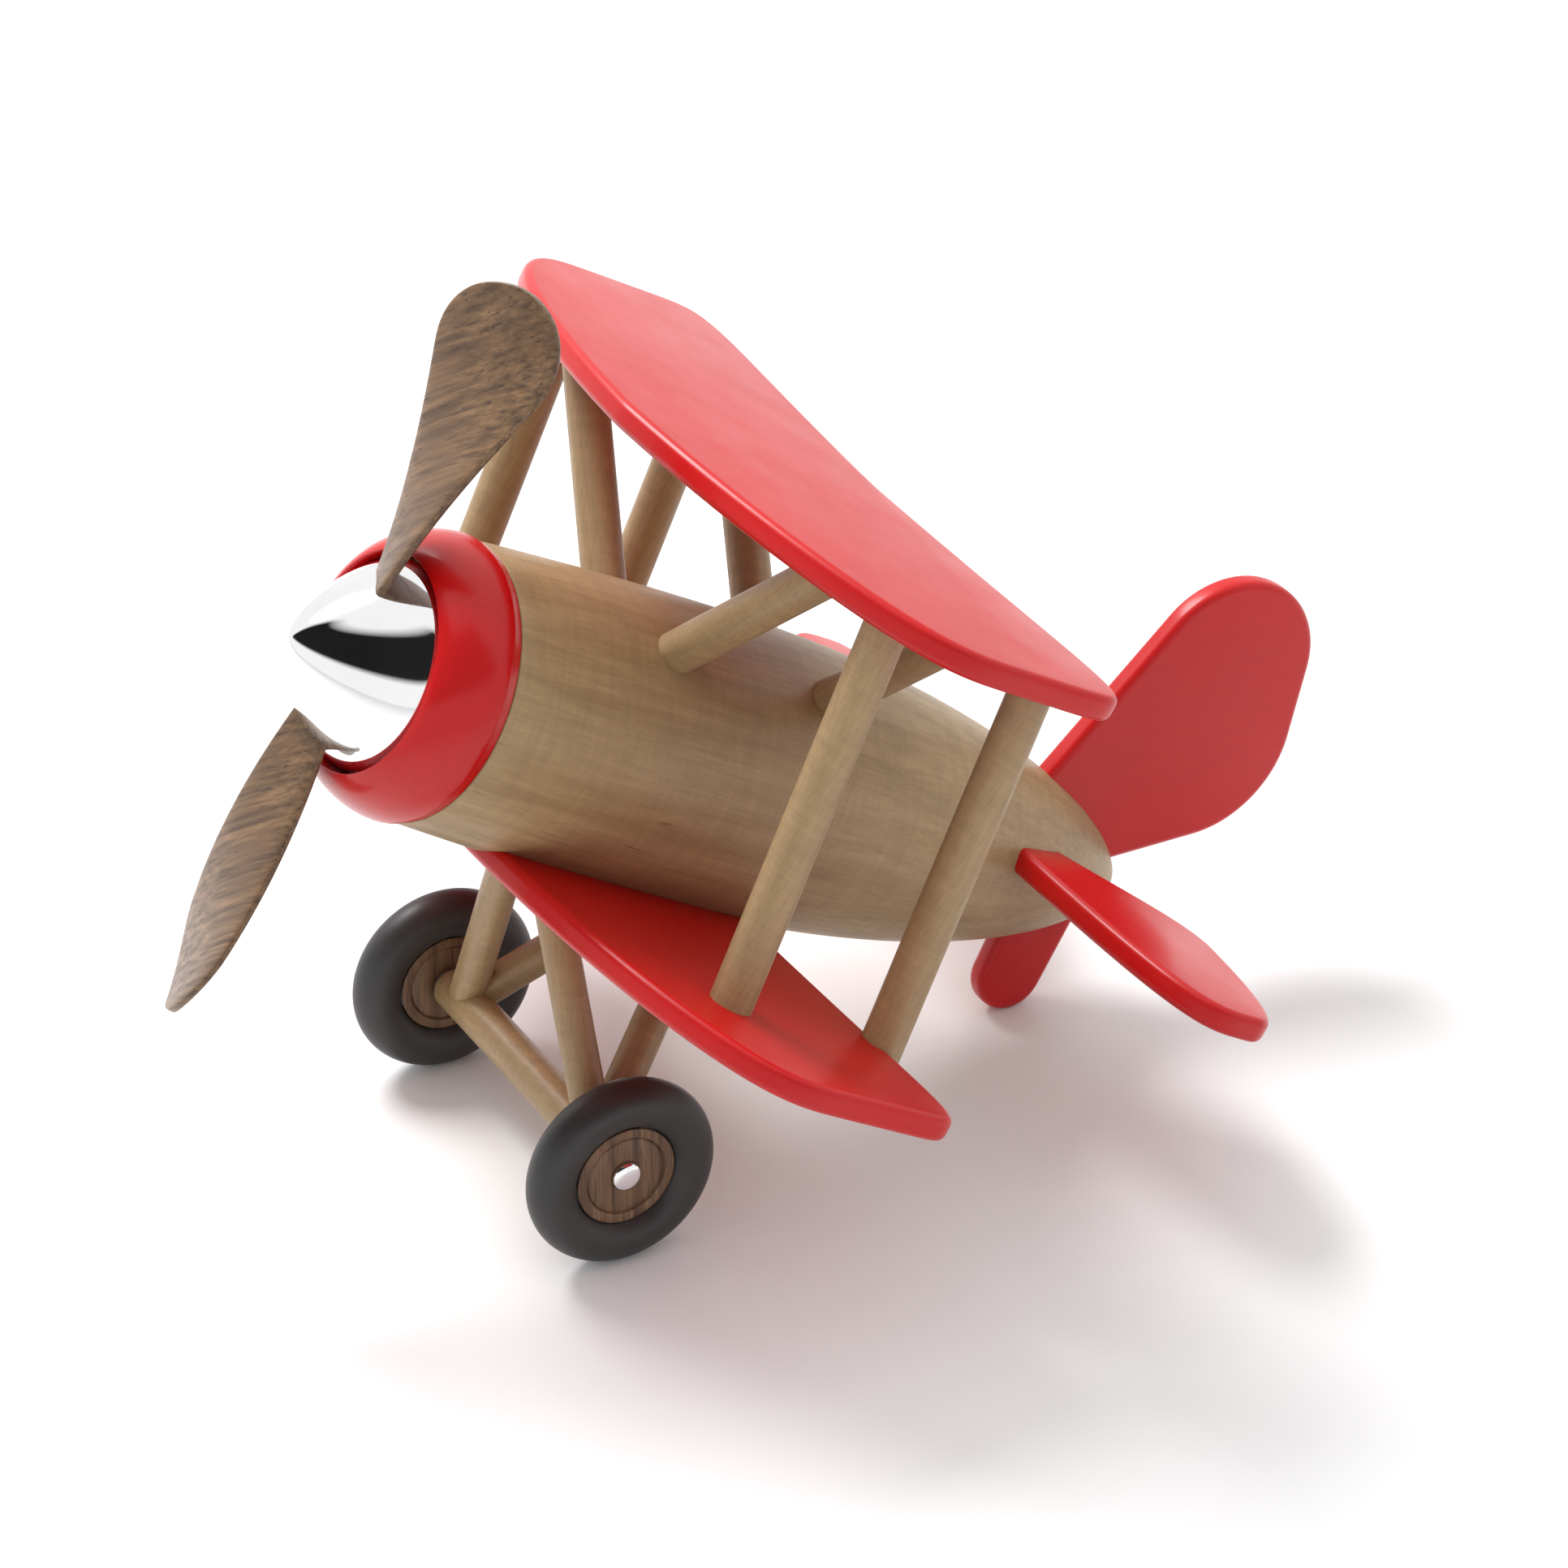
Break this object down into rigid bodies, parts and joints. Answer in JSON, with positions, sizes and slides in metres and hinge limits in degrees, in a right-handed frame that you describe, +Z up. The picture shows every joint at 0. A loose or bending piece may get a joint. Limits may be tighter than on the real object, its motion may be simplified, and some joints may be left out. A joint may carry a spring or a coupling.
{
  "type": "toy biplane",
  "caption": "Wooden toy biplane with a turned body, red board wings and tail, dowel struts, rubber-tyred wheels that roll and a propeller that spins.",
  "frame": {"origin": "middle of the bottom of the whole model's box, on the ground that the wheels and the tail skid stand on", "axes": "+X to the left wing tip, -Y the way the nose faces, +Z up; the body stands nose up at 31 degrees"},
  "size_m": [0.2182, 0.2938, 0.2174],
  "materials": {
    "fuselage_wood": "waxed light hardwood, fine grain along the body",
    "dowel_wood": "waxed light hardwood dowel",
    "red_paint": "wooden board under satin red paint",
    "cowl_paint": "turned wooden ring under glossy red paint",
    "spinner_chrome": "polished mirror",
    "axle_chrome": "polished domed cap",
    "steel": "plain bright steel",
    "propeller_walnut": "oiled walnut, semi-gloss",
    "hub_walnut": "oiled walnut, semi-gloss",
    "rubber": "satin black rubber, no tread"
  },
  "bodies": {
    "airframe": {"axle_beam": "dowel_wood", "axle_pin_left": "axle_chrome", "axle_pin_right": "axle_chrome", "cabane_strut_front_left": "dowel_wood", "cabane_strut_front_right": "dowel_wood", "cabane_strut_rear_left": "dowel_wood", "cabane_strut_rear_right": "dowel_wood", "cowl_ring": "cowl_paint", "fin": "red_paint", "fuselage": "fuselage_wood", "landing_leg_front_left": "dowel_wood", "landing_leg_front_right": "dowel_wood", "landing_leg_rear_left": "dowel_wood", "landing_leg_rear_right": "dowel_wood", "lower_wing": "red_paint", "propeller_pin": "steel", "propeller_washer": "steel", "stabilizer_left": "red_paint", "stabilizer_right": "red_paint", "tail_skid": "red_paint", "upper_wing": "red_paint", "wheel_washer_left": "steel", "wheel_washer_right": "steel", "wing_peg_front": "dowel_wood", "wing_peg_rear": "dowel_wood", "wing_strut_front_left": "dowel_wood", "wing_strut_front_right": "dowel_wood", "wing_strut_rear_left": "dowel_wood", "wing_strut_rear_right": "dowel_wood"},
    "propeller": {"spinner": "spinner_chrome", "propeller_hub": "propeller_walnut", "propeller_blade_a": "propeller_walnut", "propeller_blade_b": "propeller_walnut"},
    "wheel_left": {"wheel_hub_left": "hub_walnut", "tyre_left": "rubber"},
    "wheel_right": {"wheel_hub_right": "hub_walnut", "tyre_right": "rubber"}
  },
  "joints": [
    {"name": "propeller_spin", "type": "hinge", "parent": "airframe", "child": "propeller", "pos_m": [0, -0.09908, 0.1418], "axis": [0, -0.8572, 0.515], "continuous": true},
    {"name": "wheel_left_roll", "type": "hinge", "parent": "airframe", "child": "wheel_left", "pos_m": [0.0437, -0.05877, 0.0225], "axis": [1, 0, 0], "continuous": true},
    {"name": "wheel_right_roll", "type": "hinge", "parent": "airframe", "child": "wheel_right", "pos_m": [-0.0437, -0.05877, 0.0225], "axis": [1, 0, 0], "continuous": true}
  ]
}
